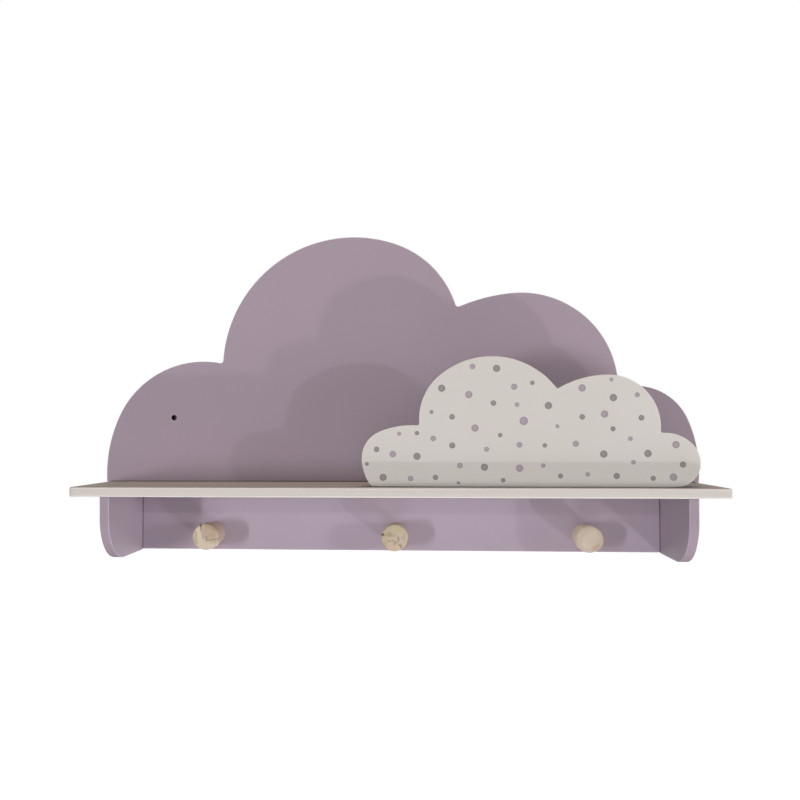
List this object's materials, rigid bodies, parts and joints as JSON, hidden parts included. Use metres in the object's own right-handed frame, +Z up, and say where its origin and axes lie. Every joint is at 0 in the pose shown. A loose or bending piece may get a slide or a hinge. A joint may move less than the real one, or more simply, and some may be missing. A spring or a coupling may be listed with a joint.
{
  "type": "wall shelf",
  "caption": "Painted wall shelf with a cloud-shaped back panel, a straight board on rounded brackets, a small cloud at its front edge and round wooden pegs below.",
  "frame": {"origin": "midway between the two wall-screw holes, on the back panel's face that meets the wall", "axes": "+Z up, +Y back into the wall, +X to the right as seen from the room"},
  "size_m": [0.608, 0.114, 0.3245],
  "materials": {
    "lilac_mdf": "satin lilac paint on MDF",
    "chalk_mdf": "satin chalk-white paint on MDF",
    "beech": "bare turned beech",
    "zinc_steel": "bright zinc plate"
  },
  "bodies": {
    "root": {"back_panel": "lilac_mdf", "shelf_board": "chalk_mdf", "bracket_left": "lilac_mdf", "bracket_right": "lilac_mdf", "front_cloud": "chalk_mdf", "peg_left": "beech", "peg_centre": "beech", "peg_right": "beech", "peg_screws": "zinc_steel", "shelf_screws": "zinc_steel", "bracket_back_screws": "zinc_steel", "bracket_top_screws": "zinc_steel", "cloud_screws": "zinc_steel", "bracket_dowels": "beech"}
  },
  "joints": []
}
